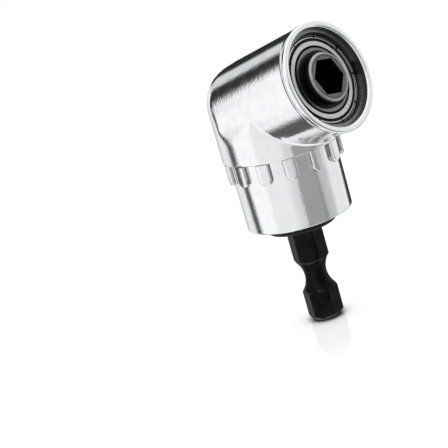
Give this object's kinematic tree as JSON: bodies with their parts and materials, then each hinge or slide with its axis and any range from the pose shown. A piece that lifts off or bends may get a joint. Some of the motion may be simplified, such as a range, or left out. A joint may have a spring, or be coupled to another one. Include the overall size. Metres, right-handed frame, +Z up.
{
  "type": "right angle drill attachment",
  "caption": "Right angle drill attachment: hexagonal shank, lugged grip sleeve and cast elbow head with a bevel-geared hexagonal bit socket in a ball bearing.",
  "frame": {"origin": "centre of the flat tip of the hexagonal shank", "axes": "+Z up the shank's axis towards the head, +X towards the side that the bit socket faces, Y across the object; the socket's axis leaves the shank's axis at (0, 0, 43.85 mm) along (cos 15, 0, sin 15)"},
  "size_m": [0.0313, 0.023, 0.0587],
  "materials": {
    "plated_casting": "bright nickel and chrome plate over a die casting, faint casting grain",
    "cap_polymer": "satin moulded black",
    "spring_steel": "phosphated black spring steel",
    "black_oxide_steel": "black oxide, satin",
    "socket_steel": "turned steel, bright face, darkened bore",
    "gear_steel": "cut and hardened, light oil",
    "bearing_steel": "ground",
    "ball_steel": "polished",
    "shield_steel": "pressed bright steel",
    "shim_steel": "ground strip",
    "cage_brass": "pressed",
    "bush_bronze": "sintered, oiled",
    "magnet_nickel": "nickel plate"
  },
  "bodies": {
    "housing": {"head_housing": "plated_casting", "grip_sleeve": "plated_casting", "dust_cap": "cap_polymer", "sleeve_snap_ring": "spring_steel", "nose_snap_ring": "spring_steel", "lower_outer_ring": "bearing_steel", "lower_shields": "shield_steel", "upper_outer_ring": "bearing_steel", "upper_shields": "shield_steel", "outer_spacer": "shim_steel", "output_bush": "bush_bronze", "nose_outer_ring": "bearing_steel", "nose_front_shield": "shield_steel", "nose_rear_shield": "shield_steel"},
    "input_drive": {"input_shaft": "black_oxide_steel", "input_gear": "gear_steel", "input_gear_ring": "spring_steel", "input_shim": "shim_steel", "lower_inner_ring": "bearing_steel", "upper_inner_ring": "bearing_steel", "inner_spacer": "shim_steel"},
    "output_drive": {"output_socket": "socket_steel", "output_gear": "gear_steel", "output_shim": "shim_steel", "socket_ring": "spring_steel", "bit_magnet": "magnet_nickel", "nose_inner_ring": "bearing_steel"},
    "lower_ball_set": {"lower_balls": "ball_steel", "lower_cage": "cage_brass"},
    "upper_ball_set": {"upper_balls": "ball_steel", "upper_cage": "cage_brass"},
    "nose_ball_set": {"nose_balls": "ball_steel", "nose_cage": "cage_brass"}
  },
  "joints": [
    {"name": "shaft_spin", "type": "hinge", "parent": "housing", "child": "input_drive", "pos_m": [0, 0, 0.04385], "axis": [0, 0, 1], "continuous": true},
    {"name": "socket_spin", "type": "hinge", "parent": "housing", "child": "output_drive", "pos_m": [0, 0, 0.04385], "axis": [0.9659, 0, 0.2588], "continuous": true},
    {"name": "lower_cage_spin", "type": "hinge", "parent": "housing", "child": "lower_ball_set", "pos_m": [0, 0, 0.0264], "axis": [0, 0, 1], "continuous": true},
    {"name": "upper_cage_spin", "type": "hinge", "parent": "housing", "child": "upper_ball_set", "pos_m": [0, 0, 0.0324], "axis": [0, 0, 1], "continuous": true},
    {"name": "nose_cage_spin", "type": "hinge", "parent": "housing", "child": "nose_ball_set", "pos_m": [0.01241, 0, 0.04718], "axis": [0.9659, 0, 0.2588], "continuous": true}
  ],
  "couplings": [
    {"joint": "socket_spin", "follows": "shaft_spin", "ratio": 1},
    {"joint": "lower_cage_spin", "follows": "shaft_spin", "ratio": 0.41667},
    {"joint": "upper_cage_spin", "follows": "shaft_spin", "ratio": 0.41667},
    {"joint": "nose_cage_spin", "follows": "shaft_spin", "ratio": 0.41793}
  ]
}
